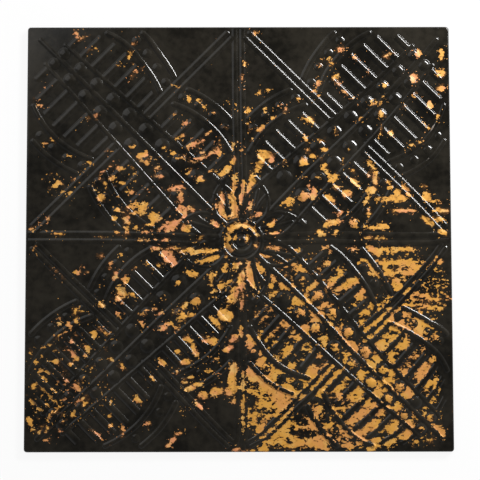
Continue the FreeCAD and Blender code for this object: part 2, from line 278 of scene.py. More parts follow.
# Flaked places in pixels of the photograph: middle, half length, half width, and a turn in degrees if any
flakes = [
    # Top left
    (76, 34, 5, 1.5, -65), (237, 224.5, 5, 3.8, 20), (231, 228, 5.4, 3.8, 48), (227.5, 236, 6, 3.8, 82),
    (235, 237, 3.4, 2.4, 60), (82, 37, 4, 1, 35), (90, 49, 3, 1.2, 35), (95, 47, 2, 1.5),
    (134, 42, 3, 1.5, 70), (129, 54, 4.5, 2.5, 80), (119, 64, 2, 1.5), (133, 63, 1.6, 1.5),
    (143, 66, 3, 1.4, 20), (135, 70, 3.5, 1.6, 80), (132, 75, 3, 2, 30), (174, 85, 2.2, 2), (44, 85, 2, 2),
    (36, 99, 2, 2), (38, 104, 1.8, 1.5), (41, 106, 1.6, 1.5), (43, 143, 2, 2), (52, 139, 3, 1.5, -30),
    (69, 155, 3.2, 1.6), (96, 115, 3, 1.7, 75), (87, 117, 3, 1, 25), (89, 163, 4.5, 2.5, -60),
    (83, 170, 1.8, 1.5), (106, 151, 2.5, 1.5, 30), (57, 184, 6, 4, 30), (71, 192, 3, 1.4, 35),
    (62, 192, 1.8, 1.5), (74, 179, 1.8, 1.5), (56, 233, 7, 1.3), (32, 228, 3, 2, -10), (41, 224, 1.6, 1.5),
    (47, 218, 2.5, 1, 40), (119, 168, 4.5, 3.6, 25), (112, 177, 4.5, 3, 15), (132, 167, 3, 2, 10),
    (110, 164, 1.8, 1, 30), (103, 171, 2.2, 1.2, 20), (100, 178, 2.2, 1.4, -20), (105, 184, 4, 2, -75),
    (94, 183, 1.7, 1.5), (94, 190, 1.6, 1.5), (122, 182, 4, 2, -20), (133, 176, 5.5, 2, 65),
    (131, 191, 3.6, 3, 80), (126, 192, 1.8, 1.5), (101, 197, 4.6, 4), (117, 209, 4.5, 3, 20),
    (114, 217, 3, 2.5), (126, 220, 6, 3.5, -60), (116, 232, 2.8, 2), (133, 205, 7, 4, 10),
    (143, 208, 8, 5, 80), (155, 217, 7, 5.5, -20), (149, 224, 6.5, 2.5, 15), (136, 227, 2.2, 2),
    (172, 225, 9, 4.6, 40), (186, 227, 5.5, 5), (174, 232, 2.4, 2), (191, 208, 5, 2.5, -40),
    (143, 154, 6.5, 3.5, 15), (140, 160, 4, 2.2, 60), (147, 161, 3.6, 2.2, 80), (156, 167, 3.4, 2.6),
    (158, 175, 5.5, 2.6, -10), (132, 146, 3, 2.4), (164, 148, 2.8, 2.4), (180, 157, 4.5, 1.4, 10),
    (173, 153, 2.2, 1.8), (189, 171, 3.4, 1.8, 45), (199, 179, 4.6, 3.4, 15), (176, 187, 9, 2.4, 10),
    (180, 198, 8, 2.6, 85), (182, 209, 6.5, 5, -60), (188, 98, 3.6, 2.4, -60), (199, 101, 3.6, 1.8, -40),
    (203, 106, 3.4, 1.8, -60), (213, 112, 3.2, 2, 10), (230, 102, 2.8, 2.4), (234, 107, 3.2, 1.6, 90),
    (175, 114, 3.2, 2, 10), (185, 124, 3.6, 2.6, 20), (182, 134, 3.6, 2.4, 60), (176, 138, 2.4, 1.6),
    (224, 126, 2.4, 1.6), (203, 138, 10, 1.7, 42), (192, 144, 7, 3, 20), (202, 152, 3.4, 2.6),
    (208, 154, 12, 1.6, 32), (197, 158, 4.4, 2.2), (219, 153, 4.4, 3.4, 50), (213, 170, 5, 1.7, 15),
    (225, 170, 8.5, 3.6, 38), (233, 160, 5, 2.2, 70), (233, 146, 5, 2, 80), (234, 184, 10, 3, 85),
    (221.5, 203, 13, 3.8, 88), (233.5, 203, 13, 4.6, 102), (229, 215.5, 8, 3), (225, 224, 3, 2, 25),
    (215, 206, 4, 2, 70), (241, 195, 10, 2.8, 85), (215, 224, 6.5, 3, -40), (142, 239, 6.5, 1.4),
    (155, 239, 3.2, 1.2), (165, 240, 5.2, 1.6), (102, 237, 3, 0.8), (199, 238, 4.6, 1.6, 20),
    (242, 77, 4, 1.2, 90), (242, 148, 3.2, 1.6, 90), (126, 229, 6, 2.6, 80), (145, 231, 5, 1.8),
    (130, 214, 8, 2, 30), (124, 213, 3, 1.6, -60), (163, 225, 8, 2, 40), (182, 217, 5, 2, 40),
    (192, 160, 4, 1.6, -20), (188, 147, 4, 1.8, 40), (200, 142, 7, 1.2, 40), (214, 206, 4, 2, 70),
    (233, 186, 3, 1.6, 80), (220, 208, 5, 2.4, 80), (229, 101, 3, 2, -20), (219, 141, 4, 1.2, 85),
    (233, 144, 4, 2, 80), (150, 224, 6, 2, 15), (154, 158, 3, 1), (143, 188, 2.4, 1.2, 20),
    # Top right
    (256, 33, 3, 2, 80), (246, 224.5, 5, 3.6, -12), (253, 228.5, 4.4, 3.4, -42), (256, 233, 3, 2.2, -70),
    (247, 236, 5, 2.8, 85), (259, 92, 2.2, 1.6), (268, 89, 2.4, 1.5), (244, 62, 3, 1.2, 90),
    (248, 110, 4.6, 2.5, 90), (265, 109, 3.2, 2.4, 60), (247, 123, 1.8, 1.6), (252, 139, 1.8, 1.6),
    (299, 98, 2.6, 2.4), (285, 109, 3.4, 2.4, 70), (278, 105, 1.8, 1.5), (272, 118, 2.6, 2.2),
    (268, 122, 1.6, 1.5), (260, 128, 5.2, 3, 25), (250, 130, 2.4, 2), (340, 49, 4, 3.4), (328, 58, 2.8, 1.8),
    (330, 63, 3.4, 3), (320, 64, 1.7, 1.5), (318, 82, 4.2, 3, 10), (335, 77, 5.4, 2.6, 50),
    (338, 83, 4.4, 2, -50), (345, 92, 4.4, 2, -45), (352, 99, 2.8, 1.9, 90), (355, 58, 4, 2, -45),
    (315, 90, 2.8, 1.9), (317, 95, 2.2, 2), (368, 72, 2.4, 1.6), (378, 103, 3.2, 2.2),
    (388, 54, 5.4, 2.6, 20), (418, 53, 4.6, 3, -60), (441, 53, 6.2, 2.6, 85), (440, 72, 5.2, 4.2),
    (413, 77, 5.6, 4.2, 90), (441, 87, 4.4, 3, 10), (384, 85, 2.8, 2.6), (383, 96, 3.2, 1.2, 90),
    (371, 102, 3.6, 2, 80), (381, 113, 3.8, 3.6), (391, 133, 3.2, 2.6), (414, 95, 3.2, 2.6),
    (429, 104, 5.2, 2.6, -80), (437, 116, 3.6, 2.2, 80), (404, 107, 2.4, 2), (424, 123, 2.8, 2),
    (428, 128, 1.8, 1.6), (419, 141, 3.2, 2.2, 10), (411, 145, 3.6, 2, 60), (380, 130, 6.2, 1.4, 80),
    (335, 130, 2.6, 1.4, 80), (349, 148, 1.8, 1.6), (360, 118, 2.2, 2), (309, 120, 7.4, 3, -40),
    (302, 117, 2.2, 2), (305, 138, 4.8, 2.4, -50), (321, 140, 3.8, 1.7, -10), (323, 149, 4.2, 2.6, 10),
    (308, 149, 2.8, 1.7, 80), (264, 154, 8.4, 5, 10), (271, 158, 5.2, 3.2, 80), (259, 165, 6.2, 4.4, 60),
    (252, 179, 6.4, 4.4, 70), (248, 189, 4.8, 2.6, 80), (284, 161, 2.2, 2), (312, 155, 4.2, 3.6),
    (304, 161, 5.2, 4.6), (321, 158, 1.8, 1.6), (323, 165, 4.4, 3, 40), (327, 172, 5.2, 3, -60),
    (333, 177, 6.4, 4.2, 30), (343, 163, 3.2, 2.2, 70), (317, 178, 2.4, 2), (303, 176, 3, 2, 10),
    (353, 170, 2.4, 2), (303, 196, 5.8, 5.2, 60), (313, 193, 7.4, 4.6, 80), (309, 185, 3.2, 1.6, 85),
    (289, 201, 5.8, 4.8, 50), (284, 203, 3.2, 2, 10), (336, 187, 4.2, 2.8, -20), (329, 198, 6.8, 3.2, -35),
    (346, 193, 5.8, 4.2, 20), (354, 182, 7.4, 3, -45), (368, 174, 2.8, 2.4), (340, 212, 4.4, 3.2, 20),
    (348, 211, 1.6, 1.5), (371, 164, 7.4, 3.2, -50), (375, 177, 7.4, 3.2, 90), (370, 190, 6.4, 4.2, 50),
    (366, 199, 5.4, 3.2, 60), (368, 211, 5.2, 1.8, 80), (377, 198, 3.2, 2.6), (396, 197, 10.4, 4.6),
    (397, 191, 4.6, 4, 90), (386, 199, 5.4, 3.2, 30), (404, 186, 4.4, 2.6, -45), (408, 194, 4.4, 3, -50),
    (390, 187, 3.2, 2.2), (387, 181, 3.2, 1.7, 20), (426, 196, 5.4, 4.6, -60), (423, 187, 2.8, 1.7),
    (436, 200, 6, 1), (404, 210, 12, 2.2), (440, 210, 10, 3), (428, 220, 8.4, 3.4, -35),
    (438, 219, 6.4, 3, -10), (442, 231, 5.4, 3, -30), (380, 226, 10.5, 3, 4), (365, 225, 3.2, 2.6),
    (355, 222, 6.2, 4.6, -20), (332, 222, 9.4, 3.8, 12), (335, 232, 5.4, 2.8, 35), (320, 232, 5.4, 3.6, -10),
    (368, 236, 6.4, 1.7), (379, 237, 7.4, 2, -5), (271, 224, 6.6, 3.4, 22), (276, 232, 5.4, 2, 10),
    (256, 214, 6.4, 2.6, 18), (250, 205, 5.4, 2.8, 70), (243, 186, 8, 3, 88), (310, 239, 3.8, 1.4),
    # Bottom left
    (34, 247, 2.2, 2), (228, 244, 5, 3.6, 100), (231, 249.5, 3.4, 2.6, 130), (225, 255, 3, 2.4),
    (256, 245, 3, 2.4, 60), (259, 254, 3, 1.6, 90), (100, 255, 2.8, 1.8), (121, 254, 1.8, 1.6),
    (77, 272, 3.6, 1.3, 20), (80, 268, 3, 1.1, 70), (87, 272, 1.2, 1), (110, 264, 3.6, 1.8, 70),
    (115, 276, 4.4, 3, 60), (103, 284, 1.8, 1.5), (54, 269, 3.4, 1.1, -45), (63, 277, 2.4, 1.1, -45),
    (125, 279, 4.4, 3.2, -70), (121, 290, 7, 5, -60), (118, 298, 5, 4), (132, 294, 4.6, 3.2, -40),
    (135, 268, 1.8, 1.5), (118, 314, 4.2, 3.2, -20), (100, 303, 5.4, 2.8, -30), (168, 256, 9, 6, -45),
    (186, 250, 9, 3, 5), (203, 251, 16, 3.8, 4), (207, 258.5, 13, 2.8, 16), (225, 256, 2.8, 2.2),
    (192, 273, 6.4, 3.2, -10), (159, 264, 2.8, 2.4), (149, 265, 5.4, 1.6, -42), (226, 267, 6.4, 4.8, 60),
    (237, 263, 5, 2.6), (219, 281, 4.4, 3, 60), (224, 284, 11, 2.4, 33), (212, 277, 8, 3, 80),
    (212, 275, 6.4, 3.6, 75), (219, 282, 5.4, 3.2, 70), (227, 283, 7.4, 2.4, 40), (242, 277, 9, 3.6, 88),
    (234, 294, 10.5, 4.6, 75), (215, 291, 4.4, 1.7, 15), (236, 266, 4.4, 3, 40), (196, 301, 5.8, 4.4, 45),
    (184, 305, 3.8, 3.2, 40), (175, 310, 3.8, 1.7, 35), (182, 317, 6.4, 4, 20), (191, 313, 3.2, 2.6),
    (176, 327, 3.2, 2.2, -20), (165, 325, 8.4, 2.6, 35), (178, 282, 2.4, 2), (163, 299, 2.4, 2),
    (153, 308, 2.4, 2), (160, 312, 4.4, 1.8, 20), (143, 312, 5.4, 2.2, 30), (142, 324, 3.8, 3, -40),
    (225, 314, 8.4, 7), (215, 321, 8.4, 4, -42), (234, 337, 5, 4.2, 40), (212, 340, 6.4, 4.2),
    (204, 340, 5.4, 2.2, -45), (189, 339, 5.4, 3, -10), (194, 350, 7.4, 3.2, -70), (177, 350, 2.8, 2.2),
    (185, 361, 5.4, 3.2, 10), (161, 362, 4.4, 3.8, -40), (176, 370, 2.8, 2.2, 80), (151, 377, 4.4, 2.6, -42),
    (216, 358, 3.2, 2.6), (227, 348, 5.4, 3.6, 40), (209, 371, 3.2, 2.6), (191, 376, 2.8, 2.2),
    (184, 382, 3.2, 2.6), (194, 386, 11.5, 3, 25), (203, 394, 5.4, 4), (216, 391, 6.4, 5),
    (198, 404, 6.4, 2.6, -42), (232, 379, 12, 4.6, 88), (230, 391, 6.4, 5), (234, 367, 5, 4, 80),
    (182, 410, 3.2, 1.6, 80), (171, 441, 6, 1.8, 50), (179, 432, 2.6, 1.1, 20), (237, 449, 5.4, 2.2, 10),
    (137, 398, 4.8, 3.8, -60), (143, 393, 2.2, 1.8), (123, 427, 3.2, 2.6, -60), (122, 434, 2.8, 1.7, 80),
    (147, 424, 3.2, 2.4, 10), (109, 415, 2.2, 1.8), (110, 402, 2.8, 1.5, 80), (110, 426, 3.2, 1.5, 80),
    (97, 434, 8.4, 1.4, -42), (77, 309, 4.4, 1.8, -20), (58, 322, 3.4, 2, 20), (69, 324, 4.4, 2, -60),
    (62, 333, 7.4, 1.5, 25), (76, 320, 3.2, 2.8), (48, 345, 2.8, 1.7, 20), (94, 333, 4.6, 3.8, -60),
    (100, 328, 3.4, 1.7, -40), (106, 333, 2.4, 1.5, -40), (71, 341, 2.8, 2.4), (87, 347, 4.8, 3.4, -50),
    (74, 355, 6.4, 3.2, -55), (56, 361, 4, 2.6, -10), (70, 363, 2.8, 1.8, 80), (85, 355, 2.2, 2),
    (40, 371, 4, 1.6, 40), (48, 372, 4, 1.6, -45), (44, 378, 4, 1.5, -40), (35, 361, 2.8, 2, 80),
    (35, 384, 4.4, 3, 60), (47, 393, 10.5, 1.4, -48), (66, 380, 6.4, 1.7, -45), (77, 386, 5.2, 3.8, -60),
    (92, 367, 3.4, 1.7, 40), (111, 359, 3, 1.3, -10), (122, 366, 3.8, 1.3, -70), (32, 401, 4.4, 2.2, -60),
    (30, 420, 5.4, 2.4, -70), (39, 408, 5.4, 1.2, -30), (47, 404, 3.4, 1.7, -40), (62, 401, 6.4, 1.5, 42),
    (49, 416, 4.4, 2.2, 70), (63, 413, 3.4, 1.7, 20), (73, 413, 4.2, 1.8, 70), (77, 401, 4.2, 1.8, 50),
    (85, 403, 3.4, 2.2, 30), (64, 420, 3.4, 1.2, 20), (47, 428, 5, 1.6, 60), (33, 429, 3, 1.4, 20),
    (40, 430, 3.4, 1.2, 70), (59, 429, 2.4, 1.2), (47, 438, 3, 1, 20), (44, 390, 8, 1, -48),
    (53, 398, 8, 1.1, -48), (58, 408, 7, 1.1, 42), (50, 414, 5, 1.1, 60), (46, 345, 4, 1.1),
    (41, 355, 2.6, 1.1, 80), (30, 352, 2, 1, 80), (56, 349, 2.2, 1.1), (66, 346, 2.6, 1.1, -40),
    (89, 349, 2.4, 1.6), (64, 391, 3, 1.2, 60), (69, 382, 2, 2), (83, 397, 3, 1.1, 40), (56, 381, 1.8, 1.2),
    (53, 389, 3, 1.1, -40), (83, 378, 1.8, 1.1), (75, 311, 3, 1.6, 60), (80, 309, 4, 1.2, -20),
    (60, 317, 3, 1.6), (39, 425, 3, 1.1, 10), (34, 411, 3, 1), (71, 424, 1.6, 1.2), (110, 443, 2, 1.4, 30),
    (183, 411, 3, 0.8, 88), (162, 264, 2.4, 2), (207, 337, 6, 1.4, 30), (172, 261, 5, 4, -50),
    (203, 254, 12, 1.6, 4), (230, 300, 6, 4, 75), (216, 289, 3, 2), (214, 296, 4, 1.4), (236, 388, 3, 5),
    (234, 400, 4, 2, 80), (175, 247, 6, 1.4, -10), (155, 248, 5, 1.4),
    # Bottom right
    (391, 249, 27, 2.2), (376, 250, 11, 3, -20), (402, 262, 24, 2.4), (396, 271, 20, 3, 2),
    (412, 269, 9, 4, 30), (386, 265, 4, 5), (367, 262, 6, 2, -70), (374, 272, 8, 2.4),
    (363, 260, 3.4, 1.6, 60), (369, 269, 3.4, 2.6), (396, 281, 9, 3.4, -62), (402, 278, 4, 2.2),
    (353, 250, 4, 3.6), (327, 248, 5, 2, -20), (297, 248, 4, 1.6), (273, 248, 5.4, 2, -5),
    (284, 262, 4, 2.6, -50), (301, 268, 5, 3.4, -50), (327, 262, 3.6, 2, 25), (323, 273, 3.4, 2.2, 40),
    (334, 281, 12, 4, 45), (350, 282, 10, 4, 30), (329, 288, 7, 4), (358, 297, 9, 3.2, 65),
    (367, 309, 8, 3, 40), (364, 303, 7, 1.4, 35), (371, 301, 6, 1.4, 35), (384, 304, 6, 5, 60),
    (393, 313, 8, 5, 30), (402, 316, 12, 6, 20), (421, 327, 15, 7.5, -25), (435, 336, 6, 2.6, -40),
    (427, 299, 18, 0.6, 1), (416, 304, 12, 1.4), (424, 308, 8, 0.4, 3), (418, 290, 7, 0.5, 20),
    (430, 280, 6, 0.7), (437, 260, 4, 2.4, 60), (428, 294, 12, 0.5), (409, 287, 8, 2.6, 48),
    (298, 303, 7.4, 6.4, -30), (311, 288, 7.4, 5.4, 30), (316, 320, 10, 5.4, 85), (308, 330, 8, 5, -20),
    (325, 315, 8, 5.4, -30), (338, 325, 11, 5.4, -40), (350, 342, 10, 4.4, -45), (362, 353, 9, 4.4, -40),
    (332, 318, 4.4, 3.4), (346, 330, 4.2, 6, 80), (321, 337, 5, 4), (338, 351, 4.4, 3),
    (350, 360, 8.4, 6.4, -60), (365, 377, 10, 6, -45), (376, 385, 8, 6, -50), (372, 366, 8, 5.4, -50),
    (384, 380, 7, 6), (396, 386, 7, 6), (389, 371, 6, 4, -60), (376, 357, 6, 3.6, -60), (370, 335, 9, 5, 35),
    (381, 345, 6, 7, 60), (402, 343, 8, 6, 30), (377, 330, 8, 3.2, 40), (395, 329, 11, 3, -20),
    (420, 371, 9, 4.4, 50), (432, 359, 4, 2.6, 40), (403, 372, 5.4, 3.4, 40), (427, 384, 6.4, 3, 60),
    (437, 378, 4, 2.4, 40), (432, 398, 4, 3, 60), (443, 408, 7, 3, 60), (434, 425, 3.2, 5, 80),
    (441, 433, 5, 2.8, -60), (408, 421, 5.4, 4, -45), (413, 413, 4.4, 3, 20), (398, 405, 6, 4.4, -30),
    (415, 441, 3, 2.6), (264, 313, 8, 3.4, 60), (258, 315, 5, 3), (262, 335, 7, 3.4, 25),
    (281, 320, 3.4, 2.6), (288, 350, 8, 3.6, 55), (280, 357, 6, 2.6, 10), (292, 365, 4, 3), (299, 337, 4, 3),
    (251, 344, 10, 4.4, -70), (262, 361, 11, 5, -60), (277, 374, 12, 6, -40), (292, 388, 10, 5.4, -40),
    (306, 384, 8, 4, 40), (298, 394, 7, 4, 20), (250, 372, 7, 4, -80), (266, 384, 16, 9, -35),
    (276, 399, 16, 8, 20), (260, 402, 6, 4, 60), (254, 418, 8, 3.4, 80), (266, 418, 10, 4, 50),
    (290, 412, 9, 3.4, 50), (281, 428, 12, 7, 40), (290, 441, 14, 5.4, -5), (315, 441, 15, 5.4, 10),
    (312, 424, 5, 8, 60), (300, 427, 6, 4), (275, 441, 7, 4, 10), (318, 410, 12, 5, -60),
    (330, 425, 12, 5.4, -55), (345, 440, 12, 5, -40), (320, 392, 7, 4, 50), (335, 375, 12, 4, 40),
    (342, 383, 13, 3, 42), (345, 395, 10, 4.4, 25), (355, 400, 12, 5, 20), (353, 420, 7, 4, 60),
    (363, 412, 8, 4.4, 40), (372, 425, 10, 4.4, 40), (378, 412, 5, 5), (390, 424, 9, 6, 35),
    (375, 443, 9, 4, 30), (390, 441, 7, 4, 30), (400, 432, 7, 4.4, -30), (360, 440, 6, 4, -10),
    (316, 352, 5, 2.6, 10), (311, 372, 8, 5, 70), (250, 274, 15, 4.2, -74), (258, 266.5, 7.4, 3.6, -56),
    (241, 281, 9, 4.8, 88), (252, 288, 6, 2, -60), (271, 282, 5, 2.4, 75), (284, 286, 6, 3.4, -40),
    (293, 284, 3, 4.6), (303, 284, 4, 3, -60), (272, 293, 4, 2.6, 40), (242, 300, 8, 2, 85),
    (241, 330, 6, 2.4, 90), (243, 382, 14, 2.4, 90), (243, 412, 20, 2.4, 90), (262, 449, 6, 2, -10),
    (246, 450, 6, 1.6), (307, 300, 7, 6.5, -45), (318, 299, 6, 2.6), (322, 303, 3.4, 4, 30),
    (331, 308, 4, 4.4, -45), (297, 309, 9, 2.4, -5), (299, 318, 3, 2.4), (305, 317, 2.4, 2.4),
    (289, 327, 6, 2.6, -45), (250, 272, 9, 4.6, -72), (257, 290, 7, 2, -80), (268, 308, 4.6, 3.4, 50),
    (266, 335, 4.6, 3.6, 30), (277, 343, 5.4, 2.4, 15), (302, 381, 4.4, 3), (325, 369, 9, 4, 60),
    (333, 365, 6, 2.6, -40), (316, 381, 10, 2.8, 42), (303, 389, 8, 2.4, 42), (252, 387, 7, 7),
    (248, 419, 9, 1.8, 88), (283, 408, 15, 3, 43), (259, 431, 4.4, 5.4, 45), (267, 432, 9, 3.2, 43),
    (320, 445, 11, 3.4, 5), (328, 438, 6, 4.4, -50), (316, 412, 11, 3.4, -60), (342, 428, 8, 5, -45),
    (341, 412, 4, 4), (334, 408, 3, 5), (371, 403, 7.4, 5.4, -20), (356, 433, 8, 4.6, 20),
    (385, 395, 9, 5.4, -40), (377, 392, 8, 4, -45), (388, 405, 3.4, 3), (402, 414, 8, 4, -42),
    (407, 432, 5, 4.6), (407, 391, 6, 6.4), (390, 430, 6, 4, -20), (378, 430, 5, 2.6, -10),
    (358, 389, 5.4, 4.4), (389, 353, 9, 3.4, -70), (391, 360, 3.6, 3.4), (366, 350, 6, 5, 45),
    (323, 343, 5.4, 3.4, 20), (334, 345, 3, 2.4), (302, 345, 3.4, 2.4, 40), (362, 322, 5.4, 3.4, 80),
    (367, 326, 6, 2.4, -5), (376, 323, 13, 3, 55), (384, 301, 6, 5.4, 60), (389, 296, 3.4, 3),
    (379, 307, 8, 2.6, 80), (389, 319, 6, 5.4), (401, 325, 11, 3.4, -14), (390, 336, 9, 3.6, -8),
    (379, 279, 4, 2.4, -50), (423, 347, 5, 2.4, 80), (423, 373, 10, 2.6, 48), (437, 386, 6, 3, 60),
    (425, 396, 3, 2.6), (442, 409, 7, 2.8, 60), (427, 416, 4, 3.4), (405, 371, 4, 3, 40),
    (383, 369, 6, 4, -50), (341, 333, 7, 4, -45), (330, 322, 6, 3.4, -45), (356, 347, 6, 3.4, -45),
    (319, 292, 6, 4, -40), (336, 287, 7, 4, -10), (364, 332, 4, 2.4, 45),
]
# Places with only scattered specks, in the same form
speckled = [
    (50, 400, 24, 42), (80, 345, 36, 22, 25), (85, 395, 30, 20, 40), (60, 186, 20, 12, -30),
    (425, 290, 24, 30), (300, 270, 50, 20, -10), (280, 350, 30, 30), (365, 405, 30, 40),
    (205, 365, 22, 16, 30), (390, 345, 40, 20, -40), (420, 425, 20, 20), (110, 185, 20, 16, 40),
]
# Places in the flaked quarter where the paint has held, in the same form
kept_paint = [
    (377, 285, 9, 7, 60), (344, 297, 7, 5, 40), (404, 356, 13, 5, 38), (302, 317, 5, 4.4),
    (298, 414, 12, 5, 85), (303, 432, 7, 4, -30), (448, 330, 8, 30), (446, 395, 8, 40), (420, 398, 9, 9),
    (424, 432, 9, 10), (271, 330, 4, 3), (398, 255.5, 24, 3.4), (425, 252, 9, 5), (395, 267.5, 8, 2.6),
    (403, 277, 13, 2.4), (318, 357, 4, 3), (268, 398, 3, 2.4), (262, 408, 3.4, 2.4, 30), (255, 385, 3, 4),
    (355, 410, 4, 3), (340, 411, 3.4, 3), (333, 400, 4, 2.6, 40), (430, 350, 8, 6), (379, 283, 6, 6),
    (410, 283, 7, 5, 45), (384, 289, 6, 5, -50), (420, 275, 8, 3, 45), (436, 268, 8, 3, 45),
    (338, 322, 4, 2.4), (281, 377, 4, 3.6), (252, 400, 3.4, 7, 30), (268, 411, 6, 2.4, 40),
    (272, 404, 4, 1.6, 50), (328, 421, 4, 4.4), (305, 421, 3.4, 6), (341, 434, 3.8, 3.6), (298, 385, 4, 4),
    (397, 318, 2.4, 3), (405, 319, 2.4, 2.8, 30), (249, 383, 2, 3), (258, 391, 2, 4), (264, 394, 3, 1.4, 30),
    (353, 363, 2, 2), (371, 368, 2.4, 2.4), (346, 402, 4, 1.6, 30), (366, 393, 3, 2, 40),
    (331, 297, 5, 2, -45), (394, 304, 3, 6, -45), (288, 440, 3, 5, 20), (432, 331, 3, 3),
]


def swell(share):
    """Rounded rise from 0 where share is 1 or more to 1 where it is 0."""
    return 0.5 + 0.5 * np.cos(np.pi * np.clip(share, 0, 1))


def crown(share):
    """Height of a pressed form, from 1 on its crest, ever steeper, to 0 at its foot where share is 1."""
    return 1 - np.clip(share, 0, 1) ** 2


def turned(degrees=0):
    """Unit complex number that turns a place about the tile's middle."""
    return complex(cos(radians(degrees)), sin(radians(degrees)))


class Rib:
    """Rounded rib along a path: its reach, its rise and hold on paint at places, and rows of its own."""

    def __init__(self, path, half_width, height, grip=1.0, taper=0.0):
        self.path = np.array(path, complex)
        self.half_width = half_width
        self.height = height
        self.grip = grip
        self.taper = taper

    def moved(self, turn, mirrored=False):
        path = self.path.conj() if mirrored else self.path
        return Rib(path * turn, self.half_width, self.height, self.grip, self.taper)

    def reach(self):
        middle = self.path.mean()
        return middle, abs(self.path - middle).max() + self.half_width

    def share(self, places):
        nearest = np.full(places.shape, np.inf)
        for start, end in zip(self.path, self.path[1:]):
            run = end - start
            along = np.clip(((places - start) * run.conjugate()).real / abs(run) ** 2, 0, 1)
            nearest = np.minimum(nearest, abs(places - start - along * run))
        return nearest / self.half_width

    def rise(self, places):
        rise = self.height * crown(self.share(places))
        if self.taper:
            for end, other in ((self.path[0], self.path[-1]), (self.path[-1], self.path[0])):
                inward = ((places - end) * (other - end).conjugate()).real / abs(other - end)
                rise *= 1 - swell(inward / self.taper)
        return rise

    def hold(self, places):
        return self.grip * swell(self.share(places) / hold_reach)

    def rows(self, step, shares):
        lengths = np.concatenate([[0], np.cumsum(abs(np.diff(self.path)))])
        along = np.linspace(0, lengths[-1], max(2, round(lengths[-1] / step) + 1))
        stations = np.interp(along, lengths, self.path.real) + 1j * np.interp(along, lengths, self.path.imag)
        heading = np.gradient(stations)
        side = 1j * heading / abs(heading) * self.half_width
        return [stations + side * share * way for share in shares for way in ((1, -1) if share else (1,))]

    def samples(self):
        rows = self.rows(front_rib_step, front_rib_rows)
        points = list(rows)
        if abs(self.path[0] - self.path[-1]) > self.half_width:
            for tip, inner in ((0, 1), (-1, -2)):
                outward = rows[0][tip] - rows[0][inner]
                outward *= self.half_width / abs(outward)
                points += [rows[0][tip] + outward * share * np.array([turned(turn) for turn in cap_turns])
                           for share in front_rib_rows[1:]]
        return np.concatenate(points)


class Dome:
    """Round boss, with the same methods as a rib."""

    def __init__(self, centre, radius, height, sides, crown_holds=False):
        self.centre = centre
        self.radius = radius
        self.height = height
        self.sides = sides
        self.crown_holds = crown_holds

    def moved(self, turn, mirrored=False):
        centre = self.centre.conjugate() if mirrored else self.centre
        return Dome(centre * turn, self.radius, self.height, self.sides, self.crown_holds)

    def reach(self):
        return self.centre, self.radius

    def share(self, places):
        return abs(places - self.centre) / self.radius

    def rise(self, places):
        return self.height * crown(self.share(places))

    def hold(self, places):
        share = self.share(places)
        ring = swell(abs(share - rim_share) / rim_spread)
        return np.maximum(ring, swell(share)) if self.crown_holds else ring

    def rows(self, step, shares):
        turns = np.exp(2j * pi * np.arange(0, self.sides + 1, step) / self.sides)
        return [self.centre + self.radius * share * turns for share in shares]

    def samples(self):
        return np.concatenate([[self.centre], *self.rows(1, front_dome_rows)])


def rail_offset(s):
    """Distance of a rail from its arm's middle line, at a distance s from the tile's middle."""
    share = (s - rail_start) / (rail_end - rail_start)
    return rail_start_offset + share * (rail_end_offset - rail_start_offset)


def quarter_ellipse(start, end):
    """Path from start, along the arm at first, to end, which it comes to across the arm."""
    turns = np.linspace(0, pi / 2, curl_chords + 1)
    run = end - start
    return start + run.real * np.sin(turns) + 1j * run.imag * (1 - np.cos(turns))


def bowed(start, middle, end):
    """Evenly bowed path through three places."""
    share = np.linspace(0, 1, curl_chords + 1)
    rest = 1 - share
    return start * rest * (rest - share) + middle * 4 * share * rest + end * share * (share - rest)


def fan_limit(outward):
    """Largest sum of the distances from the diamond and from the arm that a fan may reach."""
    return diamond_reach - (fan_edge_gap if outward > 0 else cross_offset + cross_half_width) * sqrt(2)


def fan_span(radius, half_width, outward):
    """Turns at which a band of a fan leaves the diamond and meets the cross or the tile's edge."""
    first = asin((diamond_offset + diamond_half_width + half_width - fan_centre_along) / radius)
    reach = fan_limit(outward) - half_width * sqrt(2) - fan_centre_along + fan_centre_across
    return first, asin(min(1, reach / (radius * sqrt(2)))) - pi / 4


def fan(outward):
    """Arcs and beads on one side of an arm, inside (-1) or outside (+1) of the diamond."""
    centre = complex(diamond_reach + outward * fan_centre_along, -fan_centre_across)
    forms = []
    for radius in (fan_outer_radius, fan_inner_radius):
        turns = np.linspace(*fan_span(radius, fan_half_width, outward), arc_points)
        arc = centre + radius * (outward * np.sin(turns) + 1j * np.cos(turns))
        forms.append(Rib(arc, fan_half_width, fan_height))
    circle = (fan_outer_radius + fan_inner_radius) / 2
    first, last = fan_span(circle, bead_radius, outward)
    for turn in np.arange(first, last, bead_pitch / circle):
        bead = centre + circle * complex(outward * sin(turn), cos(turn))
        forms.append(Dome(bead, bead_radius, bead_height, bead_sides, crown_holds=True))
    return forms


def rungs():
    """Short ribs across one side of an arm."""
    forms = []
    steps = int(diamond_reach / rung_pitch)
    for step in range(-steps, steps + 1):
        u = step * rung_pitch - diamond_offset
        s = diamond_reach + u
        if step == 0 or not rail_start < s < rail_end:
            continue
        arc = sqrt(fan_inner_radius ** 2 - (abs(u) - fan_centre_along) ** 2) - fan_centre_across
        end = min(arc - rung_arc_gap, fan_limit(1 if u > 0 else -1) - abs(u) - 2 * rung_half_width)
        start = rail_offset(s) + rung_rail_gap
        if end - start > rung_least_length:
            path = [complex(s, start), complex(s, end)]
            forms.append(Rib(path, rung_half_width, rung_height, taper=rung_taper))
    return forms


